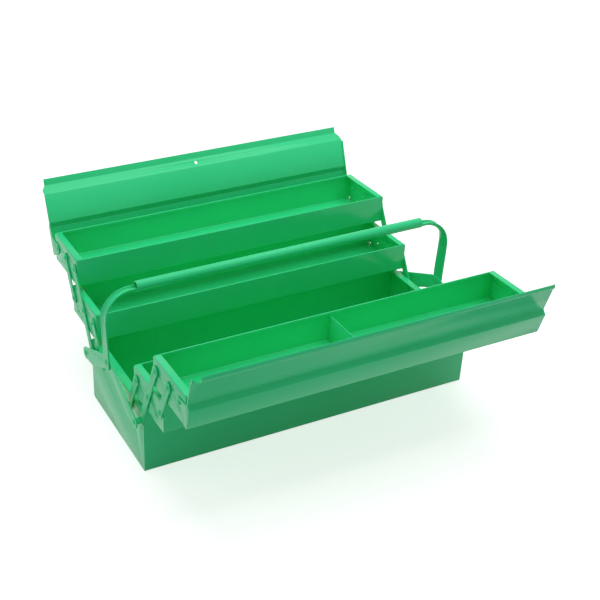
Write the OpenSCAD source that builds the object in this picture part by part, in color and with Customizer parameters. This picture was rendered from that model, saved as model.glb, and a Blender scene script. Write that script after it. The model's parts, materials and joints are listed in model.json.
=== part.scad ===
// Cantilever tool box: a deep bottom tray carries two stacks of trays on riveted arms.
// Each stack swings up and outward, and each top tray carries one half of the lid.
// X runs along the box, the front is -Y, and Z = 0 is the underside of the bottom tray.
// The model stands opened out, as on a workbench, with both lid halves tilted back.

/* [Box] */
// Length of the box over its end walls
box_l = 530; // [380:5:700]
// Width of the closed box
box_w = 200; // [190:1:240]
// Height of the bottom tray
base_h = 103; // [95:1:140]
// Thickness of the sheet steel
sheet = 1; // [0.8:0.1:1.5]
// Outside radius of the bends along the bottom edges
bend_r = 3; // [2:0.5:6]
// Depth of the hem that doubles each long rim
hem_depth = 5; // [3:0.5:8]
// Width of the turned-in flange on each end wall of the bottom tray
base_flange_w = 12; // [6:1:20]

/* [Trays] */
// Height of one upper or lower tray
tray_h = 45; // [40:1:58]
// Width of the turned-in flange on each tray end
tray_flange_w = 10; // [5:1:16]
// Gap between the front and rear trays of the closed box
centre_gap = 1.2; // [0.8:0.1:3]
// Gap between one tray and the next one down in the closed box
stack_gap = 0.5; // [0.3:0.1:2]
// Distance of the divider from the middle of the front top tray
divider_x = -8; // [-120:1:120]
// Gap between the top of the divider and the hem above it
divider_gap = 0.5; // [0.3:0.1:10]
// Width of the foot that holds the divider to the tray floor
divider_foot = 8; // [5:1:15]
// Diameter of the small holes in the ends of the lower trays
end_hole_d = 3; // [2:0.5:5]
// Height of those holes above the tray floor
end_hole_h = 12; // [8:1:15]
// Distance of the first of those holes from the inner edge of the tray
end_hole_at = 35; // [25:1:40]
// Distance between the two holes of one end
end_hole_pitch = 39; // [30:1:45]

/* [Arms] */
// Lean of the front arms beyond upright when the box stands open
front_open = 25.5; // [10:0.5:35]
// Lean of the rear arms beyond upright when the box stands open
rear_open = 30; // [10:0.5:35]
// Height of the arm pivots above each tray floor
pivot_h = 27; // [20:0.5:30]
// Distance of the top pivot of a long arm from the inner edge of its tray
pivot_inset = 9; // [8:0.5:12]
// Distance of the bottom pivot of a long arm from the face of the box
base_pivot_inset = 6.1; // [5:0.1:9]
// Distance between a long arm and the short link beside it
arm_pitch = 40; // [30:1:40]
// Width of an arm between its eyes
arm_w = 12.5; // [9:0.5:13]
// Thickness of an arm
arm_t = 2; // [1.5:0.1:3]
// Diameter of the round eye at each pivot
eye_d = 15; // [13.5:0.5:16]
// Gap between an end wall and the arms beside it
arm_gap = 0.6; // [0.4:0.1:1]

/* [Rivets] */
// Diameter of the rivet shanks
rivet_d = 5; // [4:0.5:6]
// Diameter of the outer rivet heads
rivet_head_d = 9; // [8:0.5:11]
// Height of the outer rivet heads
rivet_head_h = 1.8; // [1:0.1:2.5]
// Diameter of the inner rivet heads
rivet_tail_d = 8; // [7:0.5:10]
// Height of the inner rivet heads
rivet_tail_h = 1.2; // [0.8:0.1:2]
// Radial clearance of a rivet shank in the holes that it passes
pivot_fit = 0.05; // [0.03:0.01:0.1]

/* [Lids] */
// Distance of the seam between the lid halves from the middle of the box
seam_offset = 16.5; // [5:0.5:20]
// Length by which the rear lid laps over the front lid
lid_lap = 1; // [0.5:0.5:3]
// Drop of the front lid's pivot below the rim of its tray
front_hinge_drop = 19.3; // [15:0.1:24]
// Drop of the rear lid's pivot below the rim of its tray
rear_hinge_drop = 20.35; // [15:0.05:24]
// Lean of the opened front lid beyond upright
front_lid_lean = 16; // [12:0.5:30]
// Lean of the opened rear lid beyond upright
rear_lid_lean = 21; // [5:0.5:30]
// Gap between the opened front lid and the tray wall behind it
front_lid_gap = 2.2; // [1.8:0.1:6]
// Gap between the opened rear lid and the tray wall behind it
rear_lid_gap = 8.2; // [0.4:0.1:9]
// Height of the closed lid panel above the rim it covers
lid_rest_gap = 1.5; // [1:0.1:3]
// Height of the raised strip of the front lid above the rest of its panel
front_lid_step = 6.8; // [6.4:0.1:10]
// Height of the raised strip of the rear lid above the rest of its panel
rear_lid_step = 5; // [3:0.5:8]
// Width of the slope beside the raised strip of the front lid
front_step_run = 4.2; // [3:0.2:12]
// Width of the slope beside the raised strip of the rear lid
rear_step_run = 7; // [3:0.5:12]
// Width of the raised strip of the front lid
front_strip_w = 33; // [33:1:45]
// Width of the raised strip of the rear lid
rear_strip_w = 43; // [15:1:50]
// Width of the rolled bead along the free edge of the front lid
bead_w = 8; // [7:0.5:14]
// Height of the bead above the panel
bead_rise = 1.8; // [1:0.1:3]
// Drop of the free edge of the bead below the panel
bead_drop = 0.6; // [0.2:0.1:4]
// Length of the notch between the bead and the left flange of the front lid
notch_l = 12; // [8:0.5:30]
// Depth of that notch
notch_depth = 11; // [8:0.5:14]
// Width of the flat lip along the free edge of the rear lid
lip_w = 10; // [5:0.5:15]
// Width of the sloping band beside the lip
band_run = 13.4; // [8:0.2:20]
// Height of the lip above the panel
band_rise = 11; // [7:0.5:14]
// Length by which the lip stops short of each end of the rear lid
lip_cutback = 5.4; // [3:0.2:12]
// Diameter of the hole in the sloping band of the rear lid
band_hole_d = 5; // [3:0.5:7]
// Distance of that hole from the middle of the lid
band_hole_x = -5; // [-60:1:60]
// Depth of the flange along each end of a lid
lid_flange_h = 9; // [6:0.5:12]
// Gap between the lid flange and the end wall of the tray
lid_side_gap = 0.4; // [0.3:0.1:1]
// Diameter of the round lug at each lid pivot
lug_d = 15; // [12:0.5:18]

/* [Handle] */
// Gap between the arms and the bracket plate, which the spacers fill
bracket_gap = 7.4; // [6:0.2:14]
// Thickness of the bracket plate
bracket_t = 2; // [1.5:0.1:4]
// Height of the bracket above the bottom pivots of the long arms
bracket_rise = 47; // [35:1:60]
// Width of the legs of the bracket
bracket_leg_w = 21.5; // [14:0.5:26]
// Drop of the legs from the middle of the bracket to its eyes, per unit of length
bracket_slope = 0.49; // [0.3:0.01:0.6]
// Radius of the rounded top of the bracket
bracket_top_r = 40; // [20:1:60]
// Diameter of the eyes at the ends of the bracket
bracket_eye_d = 19; // [17:0.5:22]
// Diameter of the spacers between the arms and the bracket
spacer_d = 9; // [8:0.5:12]
// Width of the flat handle strap
strap_w = 20; // [14:0.5:24]
// Thickness of the handle strap
strap_t = 2; // [1.5:0.1:3]
// Gap between the bracket plate and the strap
strap_gap = 0.3; // [0.2:0.1:1]
// Distance of the handle pivot below the top of the bracket
handle_pivot_drop = 6.3; // [6:0.1:10]
// Height of the grip's axis above the handle pivot
handle_reach = 110; // [100:1:160]
// Radius of the bend between the strap and the grip, along the middle of the strap
strap_bend_r = 38.8; // [25:0.2:60]
// Length of the strap below the handle pivot
strap_foot = 12.5; // [8:0.5:16]
// Diameter of the grip tube
grip_d = 15; // [13:0.5:22]
// Wall of the grip tube
grip_wall = 1; // [0.8:0.1:2]
// Distance from the middle of the strap to the open end of the grip tube
grip_setback = 46.5; // [40:0.5:70]
// Length of the curled strap end inside the grip tube
tongue_l = 6; // [3:0.5:20]
// Gap between the curled strap end and the inside of the grip tube
tongue_gap = 0.3; // [0.2:0.1:0.6]

/* [Hidden] */
ENAMEL = [0.14, 0.66, 0.40];
REAR = 1;
FRONT = -1;
RIGHT = 1;
LEFT = -1;
$fn = 48;

// Closed linkage: each stage climbs one tray and moves outward by fold_run
half_gap = centre_gap / 2;
tray_w = box_w / 2 - half_gap;
stage_rise = tray_h + stack_gap;
fold_run = (box_w / 2 - base_pivot_inset - half_gap - pivot_inset) / 2;
stage_l = sqrt(pow(stage_rise, 2) + pow(fold_run, 2));
fold_angle = atan(fold_run / stage_rise);
base_pivot_y = box_w / 2 - base_pivot_inset;
base_pivot_z = base_h + stack_gap + pivot_h - stage_rise;
// Pivots of the lower tray, from its inner edge
mid_pivot_y = pivot_inset + fold_run;
link_top_y = mid_pivot_y - arm_pitch;
link_bottom_y = mid_pivot_y + arm_pitch;

// Layers outward from the end walls
end_x = box_l / 2;
arm_x = end_x + arm_gap;
spacer_x = arm_x + arm_t;
bracket_x = spacer_x + bracket_gap;
strap_x = bracket_x + bracket_t + strap_gap;
lid_flange_x = end_x + lid_side_gap;
lid_end_x = lid_flange_x + sheet;

// Lid pivots and profiles
front_lid_w = box_w / 2 - seam_offset;
rear_lid_w = box_w / 2 + seam_offset + lid_lap;

// Handle
bracket_top_z = base_pivot_z + bracket_rise;
handle_z = bracket_top_z - handle_pivot_drop;
grip_z = handle_z + handle_reach;
strap_mid = strap_x + strap_t / 2;
grip_half = strap_mid - grip_setback;
tongue_r = grip_d / 2 - grip_wall - tongue_gap - strap_t / 2;
tongue_z = grip_z - tongue_r;
bend_z = tongue_z - strap_bend_r;
bend_x = strap_mid - strap_bend_r;

// Opened positions: where the inner bottom edge of each tray stands
function open_lean(side) = side == FRONT ? front_open : rear_open;
function stage_out(side) = stage_l * (sin(open_lean(side)) + sin(fold_angle));
function stage_up(side) = stage_l * (cos(open_lean(side)) - cos(fold_angle));
function lower_y(side) = half_gap + stage_out(side);
function lower_z(side) = base_h + stack_gap + stage_up(side);
function upper_y(side) = half_gap + 2 * stage_out(side);
function upper_z(side) = base_h + stack_gap + stage_rise + 2 * stage_up(side);

function lid_lean(side) = side == FRONT ? front_lid_lean : rear_lid_lean;
function lid_gap(side) = side == FRONT ? front_lid_gap : rear_lid_gap;
function hinge_drop(side) = side == FRONT ? front_hinge_drop : rear_hinge_drop;
function strip_w(side) = side == FRONT ? front_strip_w : rear_strip_w;
function step_run(side) = side == FRONT ? front_step_run : rear_step_run;
// Outer faces of a closed lid above its pivot: the panel, and the raised strip
function lid_floor(side) = hinge_drop(side) + lid_rest_gap + sheet;
function lid_top(side) = lid_floor(side) + (side == FRONT ? front_lid_step : rear_lid_step);
// The hinge edge of the panel swings past the tray wall with the named gap
function hinge_inset(side) =
    ((lid_top(side) - sheet) * cos(lid_lean(side)) - lid_gap(side)) / (1 + sin(lid_lean(side)));

function unit(v) = v / norm(v);
// Corner i of a path, moved sideways by d and mitred between its neighbours
function moved(path, i, d) =
    let (last = len(path) - 1)
    let (before = unit(path[max(i, 1)] - path[max(i, 1) - 1]))
    let (after = unit(path[min(i, last - 1) + 1] - path[min(i, last - 1)]))
    let (side_a = [-before.y, before.x])
    let (side_b = [-after.y, after.x])
    let (mitre = unit(side_a + side_b))
    path[i] + mitre * d / (mitre * side_a);
// Outline of a sheet that follows a path on the path's right side
function bent_sheet(path, t) = concat(
    path,
    [for (i = [len(path) - 1:-1:0]) moved(path, i, -t)]
);

// Draws for the rear, or mirrored for the front
module on_side(side) {
    mirror([0, side == FRONT ? 1 : 0, 0]) children();
}
// Draws for the right end, or mirrored for the left one
module on_end(end) {
    mirror([end == LEFT ? 1 : 0, 0, 0]) children();
}
// Extrudes a YZ outline along X, centred on the box
module along_x(length) {
    rotate([90, 0, 90]) linear_extrude(length, center = true) children();
}
// Extrudes a YZ outline outward from x to x + t
module plate_at(x, t) {
    translate([x, 0, 0]) rotate([90, 0, 90]) linear_extrude(t) children();
}
// Rod along X from x0 to x1
module rod(x0, x1, d) {
    translate([x0, 0, 0]) rotate([0, 90, 0]) cylinder(h = x1 - x0, d = d);
}
// Rectangle whose two bottom corners follow the bends
module bent_section(w, h, r) {
    translate([0, r]) square([w, h - r]);
    translate([r, 0]) square([w - 2 * r, r]);
    translate([r, r]) circle(r);
    translate([w - r, r]) circle(r);
}

// One bent sheet: floor and both long walls, with hemmed rims
module wrap(w, h) {
    length = box_l - 2 * sheet;
    along_x(length) difference() {
        bent_section(w, h, bend_r);
        translate([sheet, sheet]) bent_section(w - 2 * sheet, h, bend_r - sheet);
    }
    for (y = [sheet, w - 2 * sheet])
        translate([-length / 2, y, h - hem_depth]) cube([length, sheet, hem_depth]);
}
// One end wall on the right, with its turned-in flange; pivots are [y, z] of its holes
module end_wall(w, h, flange, pivots) {
    difference() {
        plate_at(end_x - sheet, sheet) bent_section(w, h, bend_r);
        for (p = pivots)
            translate([0, p.x, p.y]) rod(end_x - 2 * sheet, end_x + sheet, rivet_d + 2 * pivot_fit);
    }
    translate([end_x - flange, 2 * sheet, h - sheet])
        cube([flange - sheet, w - 4 * sheet, sheet]);
}

module base_wrap() {
    color(ENAMEL) translate([0, -box_w / 2, 0]) wrap(box_w, base_h);
}
module base_end(end) {
    far = base_pivot_y;
    near = base_pivot_y - arm_pitch;
    holes = [for (y = [-far, -near, near, far]) [y + box_w / 2, base_pivot_z]];
    color(ENAMEL) on_end(end) translate([0, -box_w / 2, 0])
        end_wall(box_w, base_h, base_flange_w, holes);
}

module lower_tray(side) {
    color(ENAMEL) on_side(side) translate([0, lower_y(side), lower_z(side)]) wrap(tray_w, tray_h);
}
module lower_tray_end(side, end) {
    holes = [for (y = [link_top_y, mid_pivot_y, link_bottom_y]) [y, pivot_h]];
    color(ENAMEL) on_side(side) on_end(end) translate([0, lower_y(side), lower_z(side)])
        difference() {
            end_wall(tray_w, tray_h, tray_flange_w, holes);
            for (y = [end_hole_at, end_hole_at + end_hole_pitch])
                translate([0, y, end_hole_h]) rod(end_x - 2 * sheet, end_x + sheet, end_hole_d);
        }
}
module upper_tray(side) {
    color(ENAMEL) on_side(side) translate([0, upper_y(side), upper_z(side)]) wrap(tray_w, tray_h);
}
module upper_tray_end(side, end) {
    lid_hole = [tray_w - hinge_inset(side), tray_h - hinge_drop(side)];
    holes = [[pivot_inset, pivot_h], [pivot_inset + arm_pitch, pivot_h], lid_hole];
    color(ENAMEL) on_side(side) on_end(end) translate([0, upper_y(side), upper_z(side)])
        end_wall(tray_w, tray_h, tray_flange_w, holes);
}
module front_tray_divider() {
    inside = tray_w - 2 * sheet;
    wall_h = tray_h - hem_depth - divider_gap - sheet;
    color(ENAMEL) on_side(FRONT)
        translate([divider_x, upper_y(FRONT) + sheet, upper_z(FRONT) + sheet]) {
            difference() {
                cube([sheet, inside, wall_h]);
                translate([-sheet, 0, 0]) divider_corner_cuts(inside);
            }
            translate([sheet, bend_r, 0]) cube([divider_foot, inside - 2 * bend_r, sheet]);
        }
}
// Clears the bends along both bottom edges of the tray
module divider_corner_cuts(inside) {
    for (y = [0, inside - bend_r]) translate([0, y, 0]) cube([3 * sheet, bend_r, bend_r]);
}

// Flat bar with a round eye at each pivot; its first pivot is the origin, and it stands upright
module bar(pivots) {
    last = pivots[len(pivots) - 1];
    difference() {
        plate_at(arm_x, arm_t) union() {
            translate([-arm_w / 2, 0]) square([arm_w, last]);
            for (z = [pivots[0], last]) translate([0, z]) circle(d = eye_d);
        }
        for (z = pivots)
            translate([0, 0, z]) rod(arm_x - arm_t, arm_x + 2 * arm_t, rivet_d + 2 * pivot_fit);
    }
}
// Bar leaning outward on a pivot at [y, z]
module leaning_bar(side, end, y, z, pivots) {
    color(ENAMEL) on_side(side) on_end(end) translate([0, y, z])
        rotate([-open_lean(side), 0, 0]) bar(pivots);
}
module long_arm(side, end) {
    leaning_bar(side, end, base_pivot_y, base_pivot_z, [0, stage_l, 2 * stage_l]);
}
module lower_link(side, end) {
    leaning_bar(side, end, base_pivot_y - arm_pitch, base_pivot_z, [0, stage_l]);
}
module upper_link(side, end) {
    leaning_bar(side, end, lower_y(side) + link_bottom_y, lower_z(side) + pivot_h, [0, stage_l]);
}

// Domed rivet along X: inner head at x0, outer head at x1
module rivet(x0, x1) {
    rod(x0 - rivet_tail_h, x1, rivet_d);
    rod(x0 - rivet_tail_h, x0, rivet_tail_d);
    translate([x1, 0, 0]) rivet_dome();
}
// Part of a ball, turned from an arc that runs from the rim to the crown
module rivet_dome() {
    r = (pow(rivet_head_d / 2, 2) + pow(rivet_head_h, 2)) / (2 * rivet_head_h);
    rotate([0, 90, 0]) rotate_extrude() intersection() {
        translate([0, rivet_head_h - r]) circle(r, $fn = 96);
        square([rivet_head_d, rivet_head_h]);
    }
}
module both_ends() {
    for (end = [LEFT, RIGHT]) on_end(end) children();
}
wall_x = end_x - sheet;
module base_rivets() {
    color(ENAMEL) for (side = [FRONT, REAR]) on_side(side) both_ends() {
        translate([0, base_pivot_y, base_pivot_z]) rivet(wall_x, bracket_x + bracket_t);
        translate([0, base_pivot_y - arm_pitch, base_pivot_z]) rivet(wall_x, spacer_x);
    }
}
module lower_tray_rivets(side) {
    color(ENAMEL) on_side(side) both_ends() for (y = [link_top_y, mid_pivot_y, link_bottom_y])
        translate([0, lower_y(side) + y, lower_z(side) + pivot_h]) rivet(wall_x, spacer_x);
}
module upper_tray_rivets(side) {
    color(ENAMEL) on_side(side) both_ends() for (y = [pivot_inset, pivot_inset + arm_pitch])
        translate([0, upper_y(side) + y, upper_z(side) + pivot_h]) rivet(wall_x, spacer_x);
}

// Moves a closed lid, drawn round its pivot, to its opened place
module at_lid(side) {
    on_side(side)
        translate([0, upper_y(side) + tray_w - hinge_inset(side), upper_z(side) + tray_h - hinge_drop(side)])
            rotate([-90 - lid_lean(side), 0, 0]) children();
}
module lid_rivets(side) {
    color(ENAMEL) at_lid(side) both_ends() rivet(wall_x, lid_end_x);
}
// Flange and pivot lug at the right end of a lid; the flange stops where the free edge begins
module lid_flange(side, stop_y) {
    inset = hinge_inset(side);
    top = lid_top(side);
    low = top - lid_flange_h;
    step_y = inset - strip_w(side);
    difference() {
        plate_at(lid_flange_x, sheet) union() {
            polygon([
                [inset, top], [inset, low], [stop_y, low],
                [stop_y, lid_floor(side)], [step_y - step_run(side), lid_floor(side)], [step_y, top]
            ]);
            polygon([[lug_d / 2, 0], [inset, low], [-lug_d, low], [-lug_d / 2, 0]]);
            circle(d = lug_d);
        }
        rod(lid_flange_x - sheet, lid_end_x + sheet, rivet_d + 2 * pivot_fit);
    }
}
// Outer face of a lid from its hinge edge to where its free edge begins
function lid_panel(side, stop_y) =
    let (inset = hinge_inset(side), step_y = inset - strip_w(side))
    [[inset, lid_top(side)], [step_y, lid_top(side)],
     [step_y - step_run(side), lid_floor(side)], [stop_y, lid_floor(side)]];
module front_lid() {
    free = hinge_inset(FRONT) - front_lid_w;
    bead = free + bead_w;
    level = lid_floor(FRONT);
    // Rounded ridge, then a fall to the free edge
    ridge = [for (t = [0.2:0.2:0.8]) [bead - bead_w * t,
        level + bead_rise * sin(180 * t) - bead_drop * t]];
    path = concat(lid_panel(FRONT, bead), ridge, [[free, level - bead_drop]]);
    color(ENAMEL) at_lid(FRONT) {
        difference() {
            along_x(2 * lid_end_x) polygon(bent_sheet(path, -sheet));
            translate([-lid_flange_x, free, 0]) linear_extrude(2 * lid_top(FRONT))
                polygon([[0, 0], [notch_l, notch_depth], [notch_l, -sheet], [0, -sheet]]);
        }
        both_ends() lid_flange(FRONT, free + sheet);
    }
}
module rear_lid() {
    free = hinge_inset(REAR) - rear_lid_w;
    lip = free + lip_w;
    band = lip + band_run;
    lip_top = lid_floor(REAR) + band_rise;
    path = concat(lid_panel(REAR, band), [[lip, lip_top], [free, lip_top]]);
    color(ENAMEL) at_lid(REAR) {
        difference() {
            along_x(2 * lid_end_x) polygon(bent_sheet(path, -sheet));
            both_ends() translate([lid_end_x - lip_cutback, free - sheet, 0])
                cube([lip_cutback + sheet, lip_w + sheet, 2 * lid_top(REAR)]);
            translate([band_hole_x, lip + band_run / 2, 0])
                cylinder(h = 2 * lid_top(REAR), d = band_hole_d);
        }
        both_ends() lid_flange(REAR, band);
    }
}

// Shallow upside-down V over the arms' bottom pivots, with a rounded top
module bracket(end) {
    turn = atan(bracket_slope);
    crown = bracket_rise + bracket_top_r * (1 / cos(turn) - 1);
    arc_z = bracket_rise - bracket_top_r;
    depth = bracket_leg_w / cos(turn);
    toe_z = -bracket_eye_d * 0.4;
    knee_z = -bracket_eye_d * 0.26;
    knee_y = min((crown - depth - knee_z) / bracket_slope, base_pivot_y - bracket_eye_d);
    crown_step = turn / 4;
    crown_arc = [for (i = [4:-1:0])
        [bracket_top_r * sin(i * crown_step), arc_z + bracket_top_r * cos(i * crown_step)]];
    half = concat(
        [[0, crown - depth], [knee_y, knee_z], [base_pivot_y, toe_z],
         [base_pivot_y, crown - bracket_slope * base_pivot_y]],
        crown_arc
    );
    color(ENAMEL) on_end(end) translate([0, 0, base_pivot_z]) difference() {
        union() for (side = [FRONT, REAR]) on_side(side) {
            plate_at(bracket_x, bracket_t) polygon(half);
            translate([0, base_pivot_y, 0]) rod(bracket_x, bracket_x + bracket_t, bracket_eye_d);
        }
        for (y = [-base_pivot_y, base_pivot_y])
            translate([0, y, 0]) rod(bracket_x - bracket_t, bracket_x + 2 * bracket_t, rivet_d + 2 * pivot_fit);
        translate([0, 0, handle_z - base_pivot_z])
            rod(bracket_x - bracket_t, bracket_x + 2 * bracket_t, rivet_d + 2 * pivot_fit);
    }
}
module bracket_spacers() {
    color(ENAMEL) for (side = [FRONT, REAR]) on_side(side) both_ends()
        translate([0, base_pivot_y, base_pivot_z]) difference() {
            rod(spacer_x, bracket_x, spacer_d);
            rod(spacer_x - arm_t, bracket_x + bracket_t, rivet_d + 2 * pivot_fit);
        }
}
module handle_pins() {
    color(ENAMEL) both_ends() translate([0, 0, handle_z]) rivet(bracket_x, strap_x + strap_t);
}

module handle_grip() {
    color(ENAMEL) translate([0, 0, grip_z]) difference() {
        rod(-grip_half, grip_half, grip_d);
        rod(-grip_half - grip_wall, grip_half + grip_wall, grip_d - 2 * grip_wall);
    }
}
// The strap stands flat on the bracket, bends inward and curls up into the grip tube
BEND_STEPS = 14;
CURL_STEPS = 10;
FLAT_R = 4000;
ROOT_SHARE = 0.8;
function smooth(t) = t * t * (3 - 2 * t);
function curl_radius(t) = t == 0 ? FLAT_R : tongue_r / smooth(t);
// Point of the strap's section: v across the strap from -1 to 1, n from its middle sheet
function curl_point(radius, v, n) =
    let (a = v * strap_w / 2 / radius * 180 / PI)
    [(radius - n) * sin(a), radius - (radius - n) * cos(a)];
// One ring of the strap at turn a of the bend, then pushed further in by reach
function strap_ring(t, reach) =
    let (radius = curl_radius(t), a = 90 * t)
    [for (k = [0:2 * CURL_STEPS + 1])
        let (inner = k > CURL_STEPS)
        let (v = inner ? 1 - 2 * (k - CURL_STEPS - 1) / CURL_STEPS : -1 + 2 * k / CURL_STEPS)
        let (p = curl_point(radius, v, inner ? strap_t / 2 : -strap_t / 2))
        let (r = strap_bend_r + p.y)
        [bend_x + r * cos(a) - reach, p.x, bend_z + r * sin(a)]];
module strap_curl() {
    // The first ring is a slimmer root within the straight strap
    root = [for (p = strap_ring(0, 0))
        [strap_mid + (p.x - strap_mid) * ROOT_SHARE, p.y * ROOT_SHARE, bend_z - strap_t]];
    rings = concat(
        [root],
        [for (i = [0:BEND_STEPS]) strap_ring(i / BEND_STEPS, 0)],
        [strap_ring(1, bend_x - grip_half + tongue_l)]
    );
    n = 2 * CURL_STEPS + 2;
    last = len(rings) - 1;
    points = [for (ring = rings) for (p = ring) p];
    sides = [for (i = [0:last - 1]) for (k = [0:n - 1])
        [i * n + k, i * n + (k + 1) % n, (i + 1) * n + (k + 1) % n, (i + 1) * n + k]];
    bottom = [for (k = [0:CURL_STEPS - 1]) [k, n - 1 - k, n - 2 - k, k + 1]];
    end = [for (q = bottom) [for (j = [3:-1:0]) last * n + q[j]]];
    polyhedron(points = points, faces = concat(sides, bottom, end), convexity = 8);
}
module handle_strap(end) {
    color(ENAMEL) on_end(end) {
        strap_curl();
        difference() {
            plate_at(strap_x, strap_t) union() {
                translate([-strap_w / 2, handle_z - strap_foot + strap_w / 2])
                    square([strap_w, bend_z - handle_z + strap_foot - strap_w / 2]);
                translate([0, handle_z - strap_foot + strap_w / 2]) circle(d = strap_w);
            }
            translate([0, 0, handle_z])
                rod(strap_x - strap_t, strap_x + 2 * strap_t, rivet_d + 2 * pivot_fit);
        }
    }
}

base_wrap();
base_end(LEFT);  // base_end_left
base_end(RIGHT);  // base_end_right
lower_tray(FRONT);  // front_lower_tray
lower_tray_end(FRONT, LEFT);  // front_lower_tray_end_left
lower_tray_end(FRONT, RIGHT);  // front_lower_tray_end_right
upper_tray(FRONT);  // front_upper_tray
upper_tray_end(FRONT, LEFT);  // front_upper_tray_end_left
upper_tray_end(FRONT, RIGHT);  // front_upper_tray_end_right
lower_tray(REAR);  // rear_lower_tray
lower_tray_end(REAR, LEFT);  // rear_lower_tray_end_left
lower_tray_end(REAR, RIGHT);  // rear_lower_tray_end_right
upper_tray(REAR);  // rear_upper_tray
upper_tray_end(REAR, LEFT);  // rear_upper_tray_end_left
upper_tray_end(REAR, RIGHT);  // rear_upper_tray_end_right
front_tray_divider();
front_lid();
rear_lid();
long_arm(FRONT, LEFT);  // front_long_arm_left
long_arm(FRONT, RIGHT);  // front_long_arm_right
long_arm(REAR, LEFT);  // rear_long_arm_left
long_arm(REAR, RIGHT);  // rear_long_arm_right
lower_link(FRONT, LEFT);  // front_lower_link_left
lower_link(FRONT, RIGHT);  // front_lower_link_right
lower_link(REAR, LEFT);  // rear_lower_link_left
lower_link(REAR, RIGHT);  // rear_lower_link_right
upper_link(FRONT, LEFT);  // front_upper_link_left
upper_link(FRONT, RIGHT);  // front_upper_link_right
upper_link(REAR, LEFT);  // rear_upper_link_left
upper_link(REAR, RIGHT);  // rear_upper_link_right
bracket(LEFT);  // bracket_left
bracket(RIGHT);  // bracket_right
bracket_spacers();
handle_grip();
handle_strap(LEFT);  // handle_strap_left
handle_strap(RIGHT);  // handle_strap_right
handle_pins();
base_rivets();
lower_tray_rivets(FRONT);  // front_lower_tray_rivets
upper_tray_rivets(FRONT);  // front_upper_tray_rivets
lid_rivets(FRONT);  // front_lid_rivets
lower_tray_rivets(REAR);  // rear_lower_tray_rivets
upper_tray_rivets(REAR);  // rear_upper_tray_rivets
lid_rivets(REAR);  // rear_lid_rivets
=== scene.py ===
import json
import math

import bmesh
import bpy
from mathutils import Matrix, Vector


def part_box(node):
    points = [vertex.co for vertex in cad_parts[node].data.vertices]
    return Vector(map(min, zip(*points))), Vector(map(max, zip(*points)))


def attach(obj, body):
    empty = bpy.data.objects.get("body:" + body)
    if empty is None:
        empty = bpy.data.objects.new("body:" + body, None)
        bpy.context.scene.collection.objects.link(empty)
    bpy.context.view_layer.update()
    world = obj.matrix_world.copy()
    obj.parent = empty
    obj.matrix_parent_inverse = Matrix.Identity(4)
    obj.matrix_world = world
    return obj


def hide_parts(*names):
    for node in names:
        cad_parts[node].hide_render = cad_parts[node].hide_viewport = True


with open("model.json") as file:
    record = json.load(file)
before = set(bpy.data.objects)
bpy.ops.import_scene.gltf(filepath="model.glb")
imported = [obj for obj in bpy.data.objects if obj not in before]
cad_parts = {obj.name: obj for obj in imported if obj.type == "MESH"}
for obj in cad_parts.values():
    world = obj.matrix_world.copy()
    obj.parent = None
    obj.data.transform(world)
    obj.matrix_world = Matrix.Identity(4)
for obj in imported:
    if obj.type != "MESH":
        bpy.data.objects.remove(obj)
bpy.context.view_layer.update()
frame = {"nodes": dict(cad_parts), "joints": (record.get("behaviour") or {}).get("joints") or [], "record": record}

# Pieces are modelled in millimetres and brought to metres when they are done
MM = 0.001

# Lengths closer than this are the same place
NEAR = 1e-3

# Camera, set to the photograph's viewpoint
CAM_AZIMUTH = math.radians(-24.806)
CAM_ELEVATION = math.radians(30.332)
CAM_TARGET = Vector((-146.909, 0.0, 193.305)) * MM
CAM_DISTANCE = 1550.466 * MM
CAM_LENS = 66.2408
CAM_SHIFT = 0.1797
CAM_SENSOR = 36.0
CAM_CLIP = (0.01, 100.0)

# Enamel; colours are linear
ENAMEL = (0.045, 0.84, 0.345, 1.0)
ENAMEL_DEEP = (0.038, 0.81, 0.320, 1.0)
ENAMEL_SPECULAR = 0.22
PANEL_ROUGH = 0.2
FITTING_ROUGH = 0.26
ROUGH_SPREAD = 1.3
PANEL_WAVINESS = 0.02
PEEL_SCALE = 260.0
PEEL_DEPTH = 0.12
PEEL_HEIGHT = 0.0002
SWELL_SCALE = 9.0
SWELL_HEIGHT = 0.004
DRIFT_SCALE = 6.0
DRIFT_RANGE = (0.35, 0.65)

# Studio, in metres
FLOOR_SIZE = 30.0
FLOOR_COLOUR = (0.74, 0.74, 0.74, 1.0)
FLOOR_ROUGH = 0.9
FLOOR_SPECULAR = 0.1
# Light that the camera and reflections see in the floor on top of what it scatters
FLOOR_LIFT = 0.70
WHITE = (1.0, 1.0, 1.0, 1.0)
WORLD_LEVEL = 0.26
LAMPS = {
    "softbox": {"place": (0.3, 0.1, 2.1), "aim": (0.3, 0.1, 0.0), "size": (2.2, 1.7),
                "power": 25.5},
    "side_light": {"place": (-1.6, 0.7, 1.0), "aim": (0.0, 0.0, 0.1), "size": (0.9, 0.9),
                   "power": 2.5},
}

# Sheet metal
SHEET = 1.0
BEND_R = 3.0
HEM_DEPTH = 5.0
HEM_PITCH = 1.1
HEM_SLACK = 0.01
FOLD_R = 1.5
BEND_STEPS = 6
EDGE_ROUND = 0.18
EDGE_STEPS = 2
SHARP_ANGLE = math.radians(40.0)
SMOOTH_ANGLE = math.radians(38.0)
FLANGE_W = {"base": 12.0, "tray": 10.0}
CORNER_GAP = 0.3
END_HOLE_D = 3.0
END_HOLE_H = 12.0
END_HOLES_AT = (35.0, 74.0)
RELIEF_D = 3.2
RELIEF_AT = 2.9
DIVIDER_FOOT = 8.0

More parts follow.
